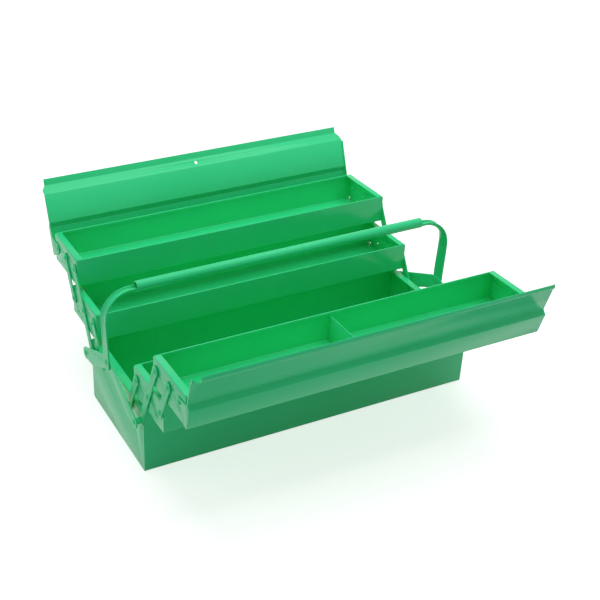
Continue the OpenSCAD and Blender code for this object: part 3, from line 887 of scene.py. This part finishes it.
def camera():
    """The photograph's camera."""
    data = bpy.data.cameras.new("photo_camera")
    cam = bpy.data.objects.new("photo_camera", data)
    bpy.context.collection.objects.link(cam)
    look = Vector((-math.sin(CAM_AZIMUTH) * math.cos(CAM_ELEVATION),
                   math.cos(CAM_AZIMUTH) * math.cos(CAM_ELEVATION), -math.sin(CAM_ELEVATION)))
    cam.location = CAM_TARGET - look * CAM_DISTANCE
    cam.rotation_euler = look.to_track_quat("-Z", "Y").to_euler()
    data.lens = CAM_LENS
    data.sensor_width = CAM_SENSOR
    data.shift_x = CAM_SHIFT
    data.clip_start, data.clip_end = CAM_CLIP
    bpy.context.scene.camera = cam


# ---------------------------------------------------------------- the whole box

def rivet_places():
    """The (y, z) places of the rivets of each swinging tray, from the joints they turn on."""
    places = {}
    for side in ("front", "rear"):
        fan = Vector(joint_yz(f"{side}_fan"))
        low_link = Vector(joint_yz(f"{side}_lower_link_pivot"))
        mid = Vector(joint_yz(f"{side}_lower_tray_pivot"))
        up = Vector(joint_yz(f"{side}_upper_link_pivot"))
        top = Vector(joint_yz(f"{side}_upper_tray_pivot"))
        places[f"{side}_lower"] = [tuple(p) for p in (mid + low_link - fan, mid, up)]
        places[f"{side}_upper"] = [tuple(p) for p in (top, top + up - mid)]
    return places


RIVETS = rivet_places()


def tray_end(side, level, end):
    """End wall of a swinging tray, with its rivet holes, small holes and relief holes."""
    out = -1.0 if side == "front" else 1.0
    node = f"{side}_{level}_tray_end_{end}"
    low, high = node_box(node)
    inner = high.y if side == "front" else low.y
    holes = [(y, z, RIVET_HOLE_D) for y, z in RIVETS[f"{side}_{level}"]]
    if level == "lower":
        holes += [(inner + out * at, low.z + END_HOLE_H, END_HOLE_D) for at in END_HOLES_AT]
    else:
        holes.append((*joint_yz(f"{side}_lid_hinge"), RIVET_HOLE_D))
    if side == "rear":
        holes.append((high.y - RELIEF_AT, low.z + RELIEF_AT, RELIEF_D))
    end_wall(node, FLANGE_W["tray"], holes)


def build_trays():
    """Bottom tray, the four swinging trays and the divider."""
    base_holes = [(*joint_yz(f"{side}_{joint}"), RIVET_HOLE_D)
                  for side in ("front", "rear") for joint in ("fan", "lower_link_pivot")]
    for end in ("left", "right"):
        end_wall(f"base_end_{end}", FLANGE_W["base"], base_holes)
        for side in ("front", "rear"):
            for level in ("lower", "upper"):
                tray_end(side, level, end)
    wrap("base_wrap")
    for side in ("front", "rear"):
        wrap(f"{side}_lower_tray")
        wrap(f"{side}_upper_tray")
    divider()


def build_linkage():
    """Arms, links, brackets and the handle."""
    for side in ("front", "rear"):
        fan = joint_yz(f"{side}_fan")
        top = joint_yz(f"{side}_upper_tray_pivot")
        reach = math.dist(fan, top)
        low_link = joint_yz(f"{side}_lower_link_pivot")
        up_link = joint_yz(f"{side}_upper_link_pivot")
        for end in ("left", "right"):
            bar(f"{side}_long_arm_{end}", fan, top, [0.0, reach / 2, reach])
            bar(f"{side}_lower_link_{end}", low_link, RIVETS[f"{side}_lower"][0], [0.0, reach / 2])
            bar(f"{side}_upper_link_{end}", up_link, RIVETS[f"{side}_upper"][1], [0.0, reach / 2])
    for end in ("left", "right"):
        bracket(f"bracket_{end}")
        strap(f"handle_strap_{end}")
    grip()


def build_rivets():
    """Every rivet and pin, with its shank as long as what it holds."""
    wall = node_box("base_end_right")[1].x - SHEET
    arm_face = node_box("rear_long_arm_right")[1].x
    bracket_low, bracket_face = (corner.x for corner in node_box("bracket_right"))
    strap_face = node_box("handle_strap_right")[1].x
    base = []
    for side in ("front", "rear"):
        base.append((bracket_face, bracket_face - wall, *joint_yz(f"{side}_fan")))
        base.append((arm_face, arm_face - wall, *joint_yz(f"{side}_lower_link_pivot")))
        for level in ("lower", "upper"):
            places = [(arm_face, arm_face - wall, y, z) for y, z in RIVETS[f"{side}_{level}"]]
            rivet_group(f"{side}_{level}_tray_rivets", places)
        lid_face = LID_X + SHEET / 2
        hinge = joint_yz(f"{side}_lid_hinge")
        rivet_group(f"{side}_lid_rivets", [(lid_face, lid_face - wall, *hinge)])
    rivet_group("base_rivets", base)
    pin_y, pin_z = joint_yz("handle_swing")
    head_x = strap_face + RIVET_FIT
    rivet_group("handle_pins", [(head_x, head_x - bracket_low, pin_y, pin_z)])


camera()
studio()
floor()
build_trays()
build_linkage()
build_rivets()
front_lid()
rear_lid()

for part in frame["nodes"].values():
    part.data.materials.clear()
    part.data.materials.append(FITTING_PAINT)

bpy.context.scene.view_settings.view_transform = "Standard"

bpy.context.view_layer.update()
